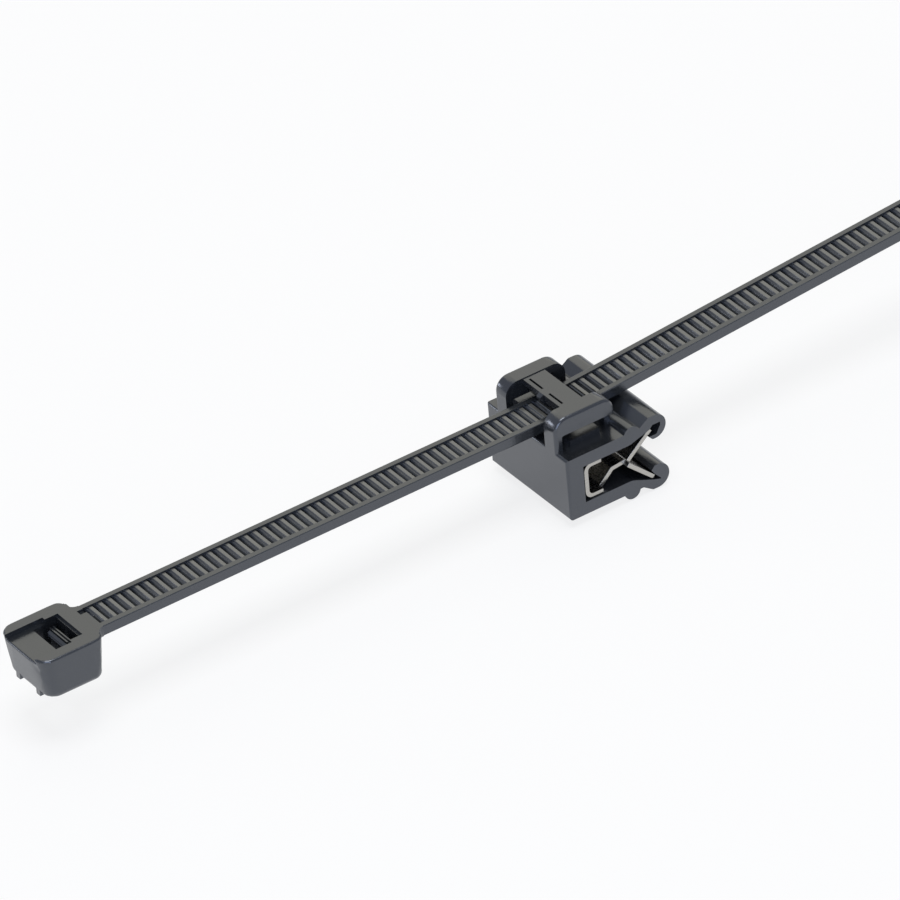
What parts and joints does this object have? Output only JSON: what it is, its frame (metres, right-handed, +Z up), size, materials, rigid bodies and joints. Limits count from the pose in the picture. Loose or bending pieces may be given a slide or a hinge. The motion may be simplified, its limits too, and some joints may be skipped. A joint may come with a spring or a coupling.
{
  "type": "cable tie mount",
  "caption": "Edge clip with a folded spring for a sheet's edge and a saddle on top that carries a serrated cable tie with its head.",
  "frame": {"origin": "where the sheet's edge stops against the inner face of the spring's back, at mid width and at the middle of the jaw's height", "axes": "+X out of the mouth and along the tie towards its tail, +Y across the clip to its far side, +Z up from the jaw to the saddle"},
  "size_m": [0.1996, 0.0146, 0.0205],
  "materials": {
    "clip_nylon": "moulded black nylon, semi-gloss",
    "spring_steel": "bright folded spring steel",
    "tie_nylon": "moulded black nylon, semi-gloss"
  },
  "bodies": {
    "clip": {"clip_housing": "clip_nylon", "spring_clip": "spring_steel"},
    "tie": {"cable_tie": "tie_nylon"}
  },
  "joints": [
    {"name": "tie_slide", "type": "slide", "parent": "clip", "child": "tie", "axis": [1, 0, 0], "range_m": [0, 0.0555]}
  ]
}
